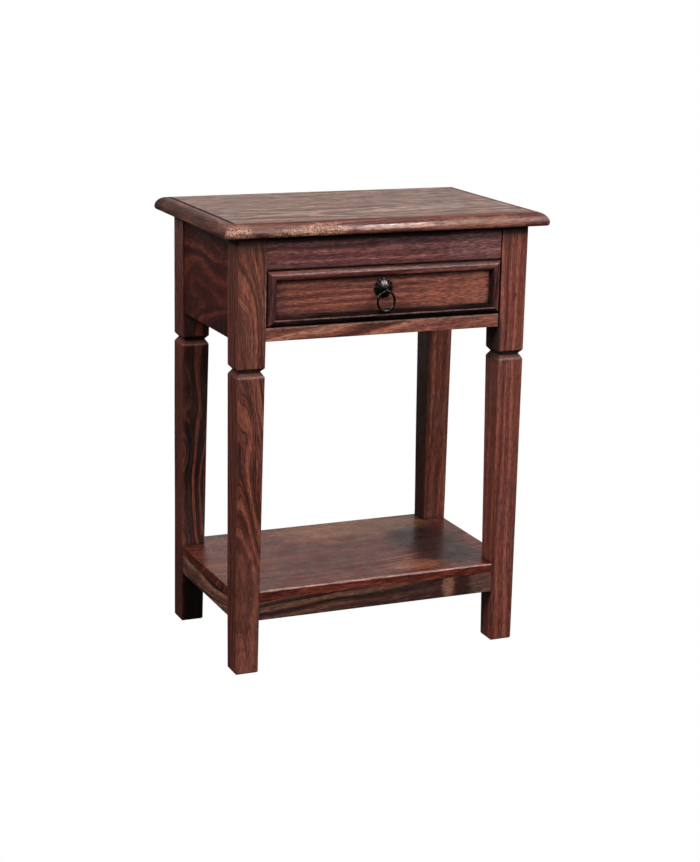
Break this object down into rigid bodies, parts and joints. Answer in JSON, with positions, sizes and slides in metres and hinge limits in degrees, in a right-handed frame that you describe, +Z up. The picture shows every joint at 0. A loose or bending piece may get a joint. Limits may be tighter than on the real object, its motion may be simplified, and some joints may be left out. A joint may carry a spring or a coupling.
{
  "type": "side table with drawer",
  "caption": "Narrow dark hardwood side table with a drawer on a ring pull under a moulded top, tapered legs and a low shelf.",
  "frame": {"origin": "on the floor under the middle of the table", "axes": "+X to the table's right as seen from the front, -Y out of the drawer front, +Z up"},
  "size_m": [0.457, 0.286, 0.6],
  "materials": {
    "leg_wood": "dark reddish brown rosewood, satin lacquer, streaky grain along the leg",
    "apron_wood": "dark reddish brown rosewood, satin lacquer, horizontal grain",
    "top_wood": "mid brown rosewood, glossier lacquer, mottled, edges rubbed lighter",
    "shelf_wood": "brown rosewood, satin lacquer, dark blotches",
    "drawer_wood": "reddish brown rosewood, satin lacquer, fine straight grain",
    "inner_wood": "paler bare wood, planed and unfinished",
    "plywood": "thin plywood, bare",
    "black_iron": "black wrought iron, hammered, waxed",
    "steel": "zinc-plated steel"
  },
  "bodies": {
    "carcass": {"apron_back": "apron_wood", "apron_left": "apron_wood", "apron_right": "apron_wood", "drawer_guide_left": "inner_wood", "drawer_guide_right": "inner_wood", "drawer_kicker_left": "inner_wood", "drawer_kicker_right": "inner_wood", "drawer_runner_left": "inner_wood", "drawer_runner_right": "inner_wood", "drawer_stop_left": "inner_wood", "drawer_stop_right": "inner_wood", "glue_block_back_left": "inner_wood", "glue_block_back_right": "inner_wood", "glue_block_front_left": "inner_wood", "glue_block_front_right": "inner_wood", "leg_back_left": "leg_wood", "leg_back_right": "leg_wood", "leg_front_left": "leg_wood", "leg_front_right": "leg_wood", "rail_above_drawer": "apron_wood", "rail_below_drawer": "drawer_wood", "shelf_board": "shelf_wood", "shelf_rail_back": "shelf_wood", "shelf_rail_front": "shelf_wood", "shelf_rail_left": "shelf_wood", "shelf_rail_right": "shelf_wood", "top_moulding_back": "top_wood", "top_moulding_front": "top_wood", "top_moulding_left": "top_wood", "top_moulding_right": "top_wood", "top_panel": "top_wood", "top_screw_back_left": "steel", "top_screw_back_right": "steel", "top_screw_front_left": "steel", "top_screw_front_right": "steel"},
    "drawer": {"drawer_back": "inner_wood", "drawer_bead_bottom": "drawer_wood", "drawer_bead_left": "drawer_wood", "drawer_bead_right": "drawer_wood", "drawer_bead_top": "drawer_wood", "drawer_bottom": "plywood", "drawer_front": "drawer_wood", "drawer_side_left": "inner_wood", "drawer_side_right": "inner_wood", "pull_rosette": "black_iron", "pull_eye_bolt": "black_iron", "pull_washer": "steel", "pull_nut": "steel"},
    "pull_ring": {"pull_ring": "black_iron"}
  },
  "joints": [
    {"name": "drawer_slide", "type": "slide", "parent": "carcass", "child": "drawer", "axis": [0, -1, 0], "range_m": [0, 0.165]},
    {"name": "ring_swing", "type": "hinge", "parent": "drawer", "child": "pull_ring", "pos_m": [-0.0025, -0.132, 0.50455], "axis": [-1, 0, 0], "range_deg": [-4, 170]}
  ]
}
